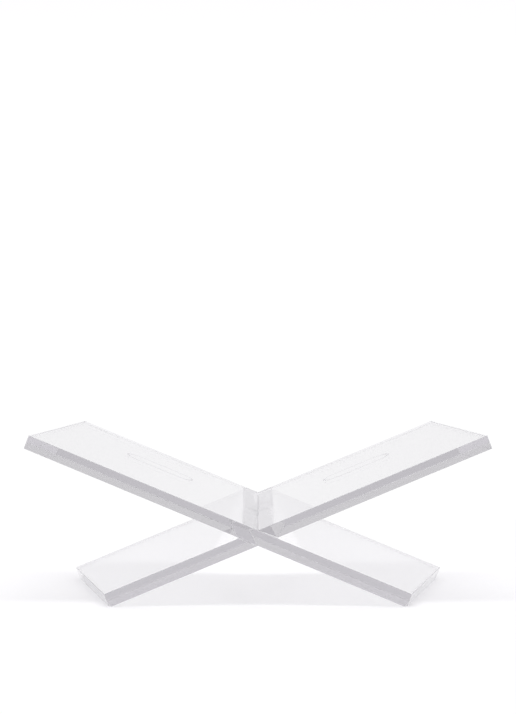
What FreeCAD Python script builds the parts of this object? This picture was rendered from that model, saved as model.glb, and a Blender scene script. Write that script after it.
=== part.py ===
import FreeCAD, Part
import math
import os
import Sketcher

# A magazine rack made of two clear acrylic boards that cross like an X. Each board is slotted halfway
# across its width, one from the front and one from the rear, and the slots slide over each other. The
# upper arms make the V that an open magazine lies in, and the lower arms stand on the floor.
#
# Each board is drawn in its own frame: the origin is the middle of the line where the two top faces
# meet, X runs along the board to the right, Y runs across it to the rear, and the top face is Z = 0.
# The row frame has +X to the right, +Y to the rear and +Z up, with its origin on the floor at the
# middle of the rack's outline.

FRONT_BOARD = "front_slotted_board"
REAR_BOARD = "rear_slotted_board"

SIZES = (
    ("board_length", 434.0, "end to end, along the slope"),
    ("board_width", 270.0, "front edge to rear edge"),
    ("board_thickness", 15.0, "cast acrylic sheet"),
    ("rise_angle", 21.55, "slope of each board above the floor, degrees"),
    ("splay_angle", 9.44, "turn of each board about the vertical, degrees"),
    ("foot_reach", 196.6, "crossing to foot end, along the top face"),
    ("slot_play", 0.3, "gap between each slot wall and the other board's face"),
    ("slot_reach", 80.0, "half length of a slot's section, enough to pass through the board"),
    ("end_play", 0.3, "gap between the ends of the two slots"),
    ("edge_radius", 0.6, "polished round on every edge of a board"),
    ("foot_grind", 1.2, "height ground off the lower corner as a flat to stand on"),
    ("mark_reach", 120.0, "crossing to the middle of the milled ring, along the top face"),
    ("mark_setback", 21.0, "middle of the board to the middle of the ring, towards the rear"),
    ("mark_length", 78.0, "outside length of the ring"),
    ("mark_width", 34.0, "outside width of the ring"),
    ("mark_line", 2.4, "width of the ring's groove"),
    ("mark_depth", 0.4, "depth of the ring's groove"),
)

OVERCUT = 20.0
SKETCH_ORIGIN = (-1, 1)
UPRIGHT_AXIS = (0, 1, 0)
NORMAL_AXIS = (0, 0, 1)

RISE = "Dimensions.rise_angle * 1deg"
SPLAY = "Dimensions.splay_angle * 1deg"
# the acute angle between the two boards, and the slant of the line where their top faces meet
CROSSING = f"acos(cos({RISE})^2 - sin({RISE})^2 * cos(2 * {SPLAY}))"
SLANT = f"atan(tan({SPLAY}) / cos({RISE}))"
ARM_REACH = "Dimensions.board_length - Dimensions.foot_reach"
# height of the crossing above the floor
STAND = (
    f"Dimensions.foot_reach * sin({RISE}) + Dimensions.board_thickness * cos({RISE})"
    " - Dimensions.foot_grind"
)


def make_sheet(doc):
    sheet = doc.addObject("Spreadsheet::Sheet", "Dimensions")
    for row, (alias, value, meaning) in enumerate(SIZES, start=1):
        sheet.set(f"A{row}", alias)
        sheet.set(f"B{row}", str(value))
        sheet.set(f"C{row}", meaning)
        sheet.setAlias(f"B{row}", alias)
    doc.recompute()


def value_of(item, expression):
    """The expression's value in millimetres or degrees."""
    result = item.evalExpression(expression)
    return float(getattr(result, "Value", result))


def make_sketch(body, name, plane_role):
    """A sketch on one of the body's own origin planes."""
    sketch = body.newObject("Sketcher::SketchObject", name)
    plane = next(f for f in body.Origin.OriginFeatures if f.Role == plane_role)
    sketch.AttachmentSupport = [(plane, "")]
    sketch.MapMode = "FlatFace"
    return sketch


def turn_sketch(sketch, axis, angle):
    """Turn the sketch about one of its own axes by an expression's angle."""
    sketch.AttachmentOffset = FreeCAD.Placement(
        FreeCAD.Vector(), FreeCAD.Rotation(FreeCAD.Vector(*axis), value_of(sketch, angle))
    )
    sketch.setExpression(".AttachmentOffset.Rotation.Angle", angle)


def bind(sketch, constraint, name, expression):
    """Add a constraint with a value and tie the value to the sheet."""
    sketch.renameConstraint(sketch.addConstraint(constraint), name)
    sketch.setExpression(f"Constraints.{name}", expression)


def place_point(sketch, kind, geometry, point, name, expression):
    """Fix how far a point is from the sketch's origin; kind is DistanceX or DistanceY."""
    distance = value_of(sketch, expression)
    place = (geometry, point)
    if distance < 0:
        bind(sketch, Sketcher.Constraint(kind, *place, *SKETCH_ORIGIN, -distance), name, f"-({expression})")
    else:
        bind(sketch, Sketcher.Constraint(kind, *SKETCH_ORIGIN, *place, distance), name, expression)


def draw_rectangle(sketch, left, right, low, high):
    """A rectangle whose four sides lie at the given expressions."""
    x0, x1, y0, y1 = (value_of(sketch, e) for e in (left, right, low, high))
    corners = [FreeCAD.Vector(x, y, 0) for x, y in ((x0, y0), (x1, y0), (x1, y1), (x0, y1))]
    for i in range(4):
        sketch.addGeometry(Part.LineSegment(corners[i], corners[(i + 1) % 4]), False)
    for i in range(4):
        sketch.addConstraint(Sketcher.Constraint("Coincident", i, 2, (i + 1) % 4, 1))
    for i in (0, 2):
        sketch.addConstraint(Sketcher.Constraint("Horizontal", i))
        sketch.addConstraint(Sketcher.Constraint("Vertical", i + 1))
    place_point(sketch, "DistanceX", 0, 1, "left_side", left)
    place_point(sketch, "DistanceX", 1, 2, "right_side", right)
    place_point(sketch, "DistanceY", 0, 1, "low_side", low)
    place_point(sketch, "DistanceY", 1, 2, "high_side", high)


def draw_obround(sketch, name, centre_x, centre_y, length, width):
    """A slot-shaped outline along X: two straight sides and two round ends."""
    first = sketch.GeometryCount
    x, y = value_of(sketch, centre_x), value_of(sketch, centre_y)
    radius = value_of(sketch, width) / 2
    half = value_of(sketch, length) / 2 - radius
    up = FreeCAD.Vector(0, 0, 1)
    quarter = math.pi / 2
    ends = [
        Part.ArcOfCircle(Part.Circle(FreeCAD.Vector(x + half, y, 0), up, radius), -quarter, quarter),
        Part.ArcOfCircle(Part.Circle(FreeCAD.Vector(x - half, y, 0), up, radius), quarter, 3 * quarter),
    ]
    sides = [
        Part.LineSegment(FreeCAD.Vector(x + half, y + radius, 0), FreeCAD.Vector(x - half, y + radius, 0)),
        Part.LineSegment(FreeCAD.Vector(x - half, y - radius, 0), FreeCAD.Vector(x + half, y - radius, 0)),
    ]
    right, top, left, bottom = range(first, first + 4)
    for curve in (ends[0], sides[0], ends[1], sides[1]):
        sketch.addGeometry(curve, False)
    for a, b in ((right, top), (top, left), (left, bottom), (bottom, right)):
        sketch.addConstraint(Sketcher.Constraint("Tangent", a, 2, b, 1))
    sketch.addConstraint(Sketcher.Constraint("Horizontal", top))
    sketch.addConstraint(Sketcher.Constraint("Equal", right, left))
    bind(sketch, Sketcher.Constraint("Radius", right, radius), f"{name}_radius", f"{width} / 2")
    place_point(sketch, "DistanceX", right, 3, f"{name}_right", f"{centre_x} + ({length} - {width}) / 2")
    place_point(sketch, "DistanceX", left, 3, f"{name}_left", f"{centre_x} - ({length} - {width}) / 2")
    place_point(sketch, "DistanceY", right, 3, f"{name}_centre", centre_y)


def cut(body, sketch, name):
    """A pocket of the sketch in the body, to be given its depth by the caller."""
    pocket = body.newObject("PartDesign::Pocket", name)
    pocket.Profile = sketch
    sketch.Visibility = False
    return pocket


def make_plank(body, left, right):
    """The plain board, its twelve edges polished round."""
    sketch = make_sketch(body, "Outline", "XY_Plane")
    half = "Dimensions.board_width / 2"
    draw_rectangle(sketch, left, right, f"-{half}", half)
    pad = body.newObject("PartDesign::Pad", "Plank")
    pad.Profile = sketch
    pad.Reversed = True
    pad.setExpression("Length", "Dimensions.board_thickness")
    body.Document.recompute()
    rounds = body.newObject("PartDesign::Fillet", "Rounds")
    rounds.Base = (pad, [f"Edge{i + 1}" for i in range(len(pad.Shape.Edges))])
    rounds.setExpression("Radius", "Dimensions.edge_radius")


def draw_crossing_strip(sketch, toward_arm):
    """The other board's section, square to the line where the top faces meet.

    The origin is that line. The other board's top face goes down through it on the side of this
    board's arm, which is +X where toward_arm is 1 and -X where it is -1.
    """
    crossing = math.radians(value_of(sketch, CROSSING))
    along = FreeCAD.Vector(toward_arm * math.cos(crossing), -math.sin(crossing), 0)
    outward = FreeCAD.Vector(toward_arm * math.sin(crossing), math.cos(crossing), 0)
    reach = "Dimensions.slot_reach"
    above = "Dimensions.slot_play"
    below = "Dimensions.board_thickness + Dimensions.slot_play"
    length, top, bottom = (value_of(sketch, e) for e in (reach, above, below))
    corners = [
        along * length + outward * top,
        along * -length + outward * top,
        along * -length - outward * bottom,
        along * length - outward * bottom,
    ]
    for i in range(4):
        sketch.addGeometry(Part.LineSegment(corners[i], corners[(i + 1) % 4]), False)
    for i in range(4):
        sketch.addConstraint(Sketcher.Constraint("Coincident", i, 2, (i + 1) % 4, 1))
    for i in range(3):
        sketch.addConstraint(Sketcher.Constraint("Perpendicular", i, i + 1))
    slope = math.pi - crossing if toward_arm > 0 else crossing
    tilt = f"180deg - {CROSSING}" if toward_arm > 0 else CROSSING
    bind(sketch, Sketcher.Constraint("Angle", 0, slope), "tilt", tilt)
    for i, (name, expression) in enumerate(
        (("top_face", above), ("up_end", reach), ("bottom_face", below), ("down_end", reach))
    ):
        distance = value_of(sketch, expression)
        bind(sketch, Sketcher.Constraint("Distance", *SKETCH_ORIGIN, i, distance), name, expression)


def cut_slot(body, toward_arm, slant, opens_rear):
    """The slot for the other board, its walls sloped like the other board's faces."""
    sketch = make_sketch(body, "SlotSection", "XZ_Plane")
    turn_sketch(sketch, UPRIGHT_AXIS, slant)
    draw_crossing_strip(sketch, toward_arm)
    slot = cut(body, sketch, "Slot")
    slot.SideType = "Two sides"
    slot.Reversed = not opens_rear
    slot.setExpression("Length", "Dimensions.board_width")
    slot.setExpression("Length2", "Dimensions.end_play / 2")


def grind_foot(body, slope):
    """The flat that the board stands on, level with the floor once the board is in its place."""
    sketch = make_sketch(body, "FloorLevel", "XZ_Plane")
    turn_sketch(sketch, NORMAL_AXIS, slope)
    reach = "Dimensions.board_length"
    draw_rectangle(sketch, f"-{reach}", reach, f"-({STAND} + {OVERCUT})", f"-({STAND})")
    flat = cut(body, sketch, "FootFlat")
    flat.Type = "ThroughAll"
    flat.SideType = "Symmetric"


def mill_mark(body, centre_x):
    """A plain shallow ring in the middle of the upper arm's top face."""
    sketch = make_sketch(body, "RingShape", "XY_Plane")
    setback = "Dimensions.mark_setback"
    draw_obround(sketch, "outside", centre_x, setback, "Dimensions.mark_length", "Dimensions.mark_width")
    draw_obround(
        sketch,
        "inside",
        centre_x,
        setback,
        "(Dimensions.mark_length - 2 * Dimensions.mark_line)",
        "(Dimensions.mark_width - 2 * Dimensions.mark_line)",
    )
    groove = cut(body, sketch, "Ring")
    groove.setExpression("Length", "Dimensions.mark_depth")


def make_front_board(doc):
    """The board that rises to the right. Its slot opens at the front edge."""
    body = doc.addObject("PartDesign::Body", "FrontSlottedBoard")
    body.Label = FRONT_BOARD
    make_plank(body, "-Dimensions.foot_reach", ARM_REACH)
    cut_slot(body, toward_arm=1, slant=f"-{SLANT}", opens_rear=False)
    grind_foot(body, f"-{RISE}")
    mill_mark(body, "Dimensions.mark_reach")
    return body


def make_rear_board(doc):
    """The board that rises to the left. Its slot opens at the rear edge."""
    body = doc.addObject("PartDesign::Body", "RearSlottedBoard")
    body.Label = REAR_BOARD
    make_plank(body, f"-({ARM_REACH})", "Dimensions.foot_reach")
    cut_slot(body, toward_arm=-1, slant=SLANT, opens_rear=True)
    grind_foot(body, RISE)
    mill_mark(body, "-Dimensions.mark_reach")
    return body


def set_in_place(bodies):
    """Cross the boards at their common centre, on the floor and with the outline centred on the origin."""
    front, rear = bodies
    turns = ((front, SPLAY, f"-({RISE})"), (rear, f"-({SPLAY})", RISE))
    for body, yaw, pitch in turns:
        rotation = FreeCAD.Rotation(value_of(body, yaw), value_of(body, pitch), 0)
        body.Placement = FreeCAD.Placement(FreeCAD.Vector(), rotation)
    points = [vertex.Point for body in bodies for vertex in body.Shape.Vertexes]
    middle = (min(p.y for p in points) + max(p.y for p in points)) / 2
    for body in bodies:
        body.Placement.Base = FreeCAD.Vector(0, -middle, value_of(body, STAND))


def check_objects(doc, bodies):
    """Stop if anything failed to compute."""
    for item in doc.Objects:
        if {"Invalid", "Error"} & set(item.State):
            raise RuntimeError(f"{item.Name} failed: {item.State}")
    for body in bodies:
        shape = body.Shape
        if shape.isNull() or not shape.isValid() or len(shape.Solids) != 1:
            raise RuntimeError(f"{body.Label} is not one valid solid")
        steps = [f for f in body.Group if f.isDerivedFrom("PartDesign::Feature")]
        for before, after in zip(steps, steps[1:]):
            removed = before.Shape.Volume - after.Shape.Volume
            if removed <= 0:
                raise RuntimeError(f"{body.Label}: {after.Label} cut nothing")
            print(f"{body.Label}: {after.Label} removed {removed:.0f} mm3")
    front, rear = (body.Shape for body in bodies)
    if front.common(rear).Volume > 0:
        raise RuntimeError("the boards overlap")
    print(f"gap between the boards {front.distToShape(rear)[0]:.3f} mm")


def main():
    doc = FreeCAD.newDocument("MagazineRack")
    make_sheet(doc)
    bodies = (make_front_board(doc), make_rear_board(doc))
    doc.recompute()
    set_in_place(bodies)
    doc.recompute()
    check_objects(doc, bodies)
    os.makedirs("parts", exist_ok=True)
    for body in bodies:
        body.Shape.exportStep(f"parts/{body.Label}.step")


main()
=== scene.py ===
import math

import bpy
from mathutils import Euler, Matrix, Vector


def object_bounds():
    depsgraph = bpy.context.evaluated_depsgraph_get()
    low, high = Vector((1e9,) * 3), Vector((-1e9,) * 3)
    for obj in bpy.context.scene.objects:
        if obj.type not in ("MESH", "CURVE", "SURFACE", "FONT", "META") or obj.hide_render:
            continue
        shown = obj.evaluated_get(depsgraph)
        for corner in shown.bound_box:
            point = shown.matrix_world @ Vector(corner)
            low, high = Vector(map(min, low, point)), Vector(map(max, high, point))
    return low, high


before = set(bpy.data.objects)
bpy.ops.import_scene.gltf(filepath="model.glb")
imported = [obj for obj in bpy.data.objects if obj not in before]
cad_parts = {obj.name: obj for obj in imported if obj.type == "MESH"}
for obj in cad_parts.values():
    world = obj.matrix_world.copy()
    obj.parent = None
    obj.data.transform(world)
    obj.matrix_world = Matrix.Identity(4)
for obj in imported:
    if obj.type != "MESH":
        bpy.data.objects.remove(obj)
cad_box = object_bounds()

# Two boards of clear cast acrylic cross like an X and carry each other in their slots. Both are CAD
# nodes with the right shape, so everything here is their material, the studio and the camera.
# Lengths are in metres. Each board's material works in the board's own frame: X along the board,
# Y across it to the rear, Z out of its top face, and the origin in the board's middle.

# Apart from the index of refraction, the values for material and light are tuned for the look.
# They aren't measured.
ACRYLIC_IOR = 1.49
# 1 m of the sheet absorbs the density times (1 - colour), so a little less red and blue than green
TINT_COLOR = (0.02, 0.0, 0.06, 1.0)
TINT_DENSITY = 0.5
# the share of red, green and blue by which a board's side edges are drawn darker
EDGE_LOSS = (0.34, 0.35, 0.33)

EDGE_RADIUS = 0.0006    # of the polished round along the board's outline
RING_DEPTH = 0.0004     # depth of the milled ring
FACE_BAND = 0.00005     # how near a point is to a face that it lies on
RING_MARGIN = 0.005     # the ring is further than this from the board's edges

# Noise scales are per metre. A triple has one scale along, one across and one through the board.
CASTING_SCALE = 9.0
RUBBING_SCALE = (40.0, 900.0, 900.0)
RIPPLE_SCALE = (9.0, 60.0, 700.0)
LEAN_SCALE = 7.0
DAPPLE_SCALE = 85.0
FROST_SCALE = 2600.0
SMEAR_SCALE = 14.0
HAIRLINE_SCALE = (25.0, 1400.0, 600.0)

# relief from the lowest to the highest point of each mark
CASTING_RELIEF = 0.00001
RUBBING_RELIEF = 0.00000008
RIPPLE_RELIEF = 0.0000004
DAPPLE_RELIEF = 0.00025
FROST_RELIEF = 0.00004
# a side edge is shaded as if it leaned by this slope, which drifts along the board
LEAN_SLOPE = 0.05
LEAN_DRIFT = 0.015

CLEAN_ROUGHNESS = 0.004
SMEAR_ROUGHNESS = 0.03
SCUFF_ROUGHNESS = 0.02
ROUND_ROUGHNESS = 0.25
RING_ROUGHNESS = 0.35
# a smear or a scuff comes in as its noise passes through this range
SMEAR_ONSET = (0.05, 0.25)
SCUFF_ONSET = (0.17, 0.24)

# The sky's strength goes from the first value to the second as one part of its direction passes
# through the range. The horizon is a little over 1, so that the backdrop is an even white.
SKY_COLOR = (1.0, 0.99, 1.015, 1.0)
SWEEP_RANGE, SWEEP_STRENGTH = (0.05, 0.2), (1.04, 0.82)
OPENING_RANGE, OPENING_SHARE = (-0.95, -0.5), (0.8, 1.0)
OVERHEAD_RANGE, OVERHEAD_SHARE = (0.35, 0.8), (1.0, 1.2)

FLOOR_REACH = 8.0
FLOOR_PAINT = (0.97, 0.97, 0.97, 1.0)
FLOOR_GLOW = 1.03
GLOW_RANGE = (0.45, 0.95)    # paint gives way to glow between these distances from the middle

LAMP_LENGTH = 1.8
LAMP_WIDTH = 0.4
LAMP_HEIGHT = 1.6
LAMP_WATTS = 5.0
LIGHT_BOUNCES = 64           # rays trapped in a board need many before they get out

CAMERA_SENSOR = 36.0         # millimetres, like the lens
CAMERA_LENS = 158.7
CAMERA_REACH = 50.0          # nothing further away is drawn
CAMERA_GAP = 3.221           # from the camera to the front of the rack
CAMERA_HEIGHT = 0.3775
CAMERA_DIP = 2.149           # degrees below level


class Tree:
    """Adds nodes to a node tree. A value is either a plain value or another node's output."""

    def __init__(self, tree):
        tree.nodes.clear()
        self.tree = tree

    def feed(self, socket, value):
        if isinstance(value, bpy.types.NodeSocket):
            self.tree.links.new(value, socket)
        else:
            socket.default_value = value

    def add(self, kind, inputs, **settings):
        node = self.tree.nodes.new(kind)
        for name, value in settings.items():
            setattr(node, name, value)
        for name, value in inputs.items():
            self.feed(node.inputs[name], value)
        return node

    def math(self, operation, *values):
        node = self.tree.nodes.new("ShaderNodeMath")
        node.operation = operation
        for socket, value in zip(node.inputs, values):
            self.feed(socket, value)
        return node.outputs["Value"]

    def product(self, *values):
        result = values[0]
        for value in values[1:]:
            result = self.math("MULTIPLY", result, value)
        return result

    def total(self, *values):
        result = values[0]
        for value in values[1:]:
            result = self.math("ADD", result, value)
        return result

    def below(self, value, limit):
        return self.math("LESS_THAN", value, limit)

    def above(self, value, limit):
        return self.math("GREATER_THAN", value, limit)

    def noise(self, vector, scale, detail=2.0, roughness=0.5):
        """Noise around 0, from about -0.5 to 0.5."""
        inputs = {"Vector": vector, "Scale": scale, "Detail": detail, "Roughness": roughness}
        node = self.add("ShaderNodeTexNoise", inputs)
        return self.math("SUBTRACT", node.outputs["Fac"], 0.5)

    def drawn_noise(self, vector, scales, detail=2.0):
        """Noise with its own scale along each axis."""
        stretched = self.add("ShaderNodeMapping", {"Vector": vector, "Scale": scales})
        return self.noise(stretched.outputs["Vector"], 1.0, detail)

    def scaled(self, value, factors, offset):
        """A colour: the factors times the value, plus the offset."""
        node = self.tree.nodes.new("ShaderNodeVectorMath")
        node.operation = "MULTIPLY_ADD"
        for socket, part in zip(node.inputs, (value, factors, offset)):
            self.feed(socket, part)
        return node.outputs["Vector"]

    def ramp(self, value, from_range, to_range):
        inputs = {
            "Value": value,
            "From Min": from_range[0],
            "From Max": from_range[1],
            "To Min": to_range[0],
            "To Max": to_range[1],
        }
        return self.add("ShaderNodeMapRange", inputs, clamp=True).outputs["Result"]


def board_frame(board):
    """Where the board's own frame lies, and half the board's length, width and thickness."""
    sums = {}
    for face in board.data.polygons:
        facing = tuple(round(part, 3) for part in face.normal)
        sums[facing] = sums.get(facing, Vector()) + face.area * face.normal
    widest_first = sorted(sums.values(), key=lambda total: total.length, reverse=True)
    normals = [total.normalized() for total in widest_first]
    up = next(n for n in normals if n.z > 0.5)
    along = next(n for n in normals if abs(n.dot(up)) < 0.01 and n.x > 0.5)
    across = up.cross(along)
    turn = Matrix((along, across, up))
    points = [turn @ vertex.co for vertex in board.data.vertices]
    low = Vector(min(p[i] for p in points) for i in range(3))
    high = Vector(max(p[i] for p in points) for i in range(3))
    middle = turn.transposed() @ ((low + high) / 2)
    return Matrix.Translation(middle) @ turn.transposed().to_4x4(), (high - low) / 2


def own_coordinates(tree, place):
    """Coordinates in the board's own frame, which stay with the board when it moves."""
    inverse = place.inverted()
    source = tree.add("ShaderNodeTexCoord", {}).outputs["Object"]
    inputs = {"Vector": source, "Location": inverse.translation, "Rotation": inverse.to_euler()}
    return tree.add("ShaderNodeMapping", inputs, vector_type="POINT").outputs["Vector"]


def acrylic(name, place, half):
    """Clear cast acrylic, with marks of making and handling on each of its faces."""
    material = bpy.data.materials.new(name)
    material.use_nodes = True
    tree = Tree(material.node_tree)
    own = own_coordinates(tree, place)

    # how deep a point lies under the end faces, the side edges and the broad faces
    parts = tree.add("ShaderNodeSeparateXYZ", {"Vector": own}).outputs
    from_end, from_side, from_face = (
        tree.math("SUBTRACT", half[i], tree.math("ABSOLUTE", parts[i])) for i in range(3)
    )
    on_end = tree.below(from_end, FACE_BAND)
    on_side = tree.below(from_side, FACE_BAND)

    # a rounded edge is near two of the three pairs of faces, so the middle distance is small
    nearer = tree.math("MINIMUM", from_end, from_side)
    further = tree.math("MAXIMUM", from_end, from_side)
    middle = tree.math("MAXIMUM", nearer, tree.math("MINIMUM", further, from_face))
    on_round = tree.below(middle, EDGE_RADIUS - FACE_BAND)

    inside = tree.above(nearer, RING_MARGIN)
    sunk = tree.above(from_face, FACE_BAND)
    shallow = tree.below(from_face, RING_DEPTH + FACE_BAND)
    in_ring = tree.product(inside, sunk, shallow)

    # slow waves and faint rubbing all over, ripples and a lean on the side edges, dappled ends
    casting = tree.product(tree.noise(own, CASTING_SCALE, 1.0), CASTING_RELIEF)
    rubbing = tree.product(tree.drawn_noise(own, RUBBING_SCALE, 3.0), RUBBING_RELIEF)
    ripple = tree.product(tree.drawn_noise(own, RIPPLE_SCALE), RIPPLE_RELIEF, on_side)
    slope = tree.math("MULTIPLY_ADD", tree.noise(own, LEAN_SCALE, 1.0), LEAN_DRIFT, LEAN_SLOPE)
    lean = tree.product(slope, parts["Z"], on_side)
    dapple = tree.product(tree.noise(own, DAPPLE_SCALE), DAPPLE_RELIEF, on_end)
    frost = tree.product(tree.noise(own, FROST_SCALE), FROST_RELIEF, in_ring)
    height = tree.total(casting, rubbing, ripple, lean, dapple, frost)
    bump = tree.add("ShaderNodeBump", {"Strength": 1.0, "Distance": 1.0, "Height": height})

    # a clean gloss, with faint smears and hairline scuffs, hazier rounds and a satin ring
    smear = tree.ramp(
        tree.noise(own, SMEAR_SCALE, 4.0, 0.6), SMEAR_ONSET, (0.0, SMEAR_ROUGHNESS)
    )
    scuffs = tree.ramp(
        tree.drawn_noise(own, HAIRLINE_SCALE), SCUFF_ONSET, (0.0, SCUFF_ROUGHNESS)
    )
    round_haze = tree.product(on_round, ROUND_ROUGHNESS)
    ring_haze = tree.product(in_ring, RING_ROUGHNESS)
    roughness = tree.total(CLEAN_ROUGHNESS, smear, scuffs, round_haze, ring_haze)

    # white where all light passes, and darker on the side edges
    clearness = tree.scaled(on_side, [-loss for loss in EDGE_LOSS], (1.0, 1.0, 1.0))

    surface = tree.add("ShaderNodeBsdfPrincipled", {
        "Base Color": clearness,
        "IOR": ACRYLIC_IOR,
        "Transmission Weight": 1.0,
        "Roughness": roughness,
        "Normal": bump.outputs["Normal"],
    })
    depth = tree.add("ShaderNodeVolumeAbsorption", {"Color": TINT_COLOR, "Density": TINT_DENSITY})
    inputs = {"Surface": surface.outputs["BSDF"], "Volume": depth.outputs["Volume"]}
    tree.add("ShaderNodeOutputMaterial", inputs)
    return material


def finish_boards():
    for name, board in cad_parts.items():
        place, half = board_frame(board)
        material = acrylic(f"{name}_acrylic", place, half)
        for slot in board.material_slots:
            slot.material = material


def build_sky(scene):
    """Whitest at the horizon, dimmer above it and behind the camera, brighter again overhead."""
    scene.world = bpy.data.worlds.new("studio")
    scene.world.use_nodes = True
    tree = Tree(scene.world.node_tree)
    direction = tree.add("ShaderNodeTexCoord", {}).outputs["Generated"]
    parts = tree.add("ShaderNodeSeparateXYZ", {"Vector": direction}).outputs
    sweep = tree.ramp(parts["Z"], SWEEP_RANGE, SWEEP_STRENGTH)
    opening = tree.ramp(parts["Y"], OPENING_RANGE, OPENING_SHARE)
    overhead = tree.ramp(parts["Z"], OVERHEAD_RANGE, OVERHEAD_SHARE)
    inputs = {"Color": SKY_COLOR, "Strength": tree.product(sweep, opening, overhead)}
    background = tree.add("ShaderNodeBackground", inputs)
    tree.add("ShaderNodeOutputWorld", {"Surface": background.outputs["Background"]})


def build_floor(scene):
    """A white floor that takes the rack's shadow and runs out into the sweep's even white."""
    signs = ((-1, -1), (1, -1), (1, 1), (-1, 1))
    corners = [(x * FLOOR_REACH, y * FLOOR_REACH, 0) for x, y in signs]
    mesh = bpy.data.meshes.new("floor")
    mesh.from_pydata(corners, [], [(0, 1, 2, 3)])
    floor = bpy.data.objects.new("floor", mesh)
    scene.collection.objects.link(floor)
    white = bpy.data.materials.new("white_floor")
    white.use_nodes = True
    tree = Tree(white.node_tree)
    place = tree.add("ShaderNodeTexCoord", {}).outputs["Object"]
    reach = tree.add("ShaderNodeVectorMath", {"Vector": place}, operation="LENGTH")
    paint = tree.add("ShaderNodeBsdfDiffuse", {"Color": FLOOR_PAINT})
    glow = tree.add("ShaderNodeEmission", {"Color": (1.0, 1.0, 1.0, 1.0), "Strength": FLOOR_GLOW})
    fade = tree.ramp(reach.outputs["Value"], GLOW_RANGE, (0.0, 1.0))
    mix = tree.add("ShaderNodeMixShader", {"Fac": fade})
    tree.feed(mix.inputs[1], paint.outputs["BSDF"])
    tree.feed(mix.inputs[2], glow.outputs["Emission"])
    tree.add("ShaderNodeOutputMaterial", {"Surface": mix.outputs["Shader"]})
    mesh.materials.append(white)


def add_lamp(scene):
    """A long, narrow, soft strip above the rack, which throws the rack's shadow straight down."""
    softbox = bpy.data.lights.new("softbox", "AREA")
    softbox.shape = "RECTANGLE"
    softbox.size, softbox.size_y = LAMP_LENGTH, LAMP_WIDTH
    softbox.energy = LAMP_WATTS
    # Left out of multiple importance sampling, the lamp doesn't show as a hard bar in the acrylic.
    # Its light then doesn't pass the boards either, so the clear boards throw a full shadow of it.
    softbox.cycles.use_multiple_importance_sampling = False
    lamp = bpy.data.objects.new("softbox", softbox)
    lamp.location = (0.0, 0.0, LAMP_HEIGHT)
    scene.collection.objects.link(lamp)


def build_studio():
    """A white sky and floor and one lamp, with enough bounces for light inside the boards."""
    scene = bpy.context.scene
    scene.view_settings.view_transform = "Standard"
    scene.cycles.max_bounces = LIGHT_BOUNCES
    scene.cycles.glossy_bounces = LIGHT_BOUNCES
    scene.cycles.transmission_bounces = LIGHT_BOUNCES
    scene.cycles.blur_glossy = 0.0
    build_sky(scene)
    build_floor(scene)
    add_lamp(scene)


def add_camera():
    """A long lens from straight ahead, a little above the rack."""
    view = bpy.data.cameras.new("camera")
    view.sensor_width = CAMERA_SENSOR
    view.lens = CAMERA_LENS
    view.clip_end = CAMERA_REACH
    camera = bpy.data.objects.new("camera", view)
    bpy.context.scene.collection.objects.link(camera)
    front = cad_box[0].y
    camera.location = (0.0, front - CAMERA_GAP, CAMERA_HEIGHT)
    camera.rotation_euler = Euler((math.radians(90.0 - CAMERA_DIP), 0.0, 0.0))
    bpy.context.scene.camera = camera


finish_boards()
build_studio()
add_camera()
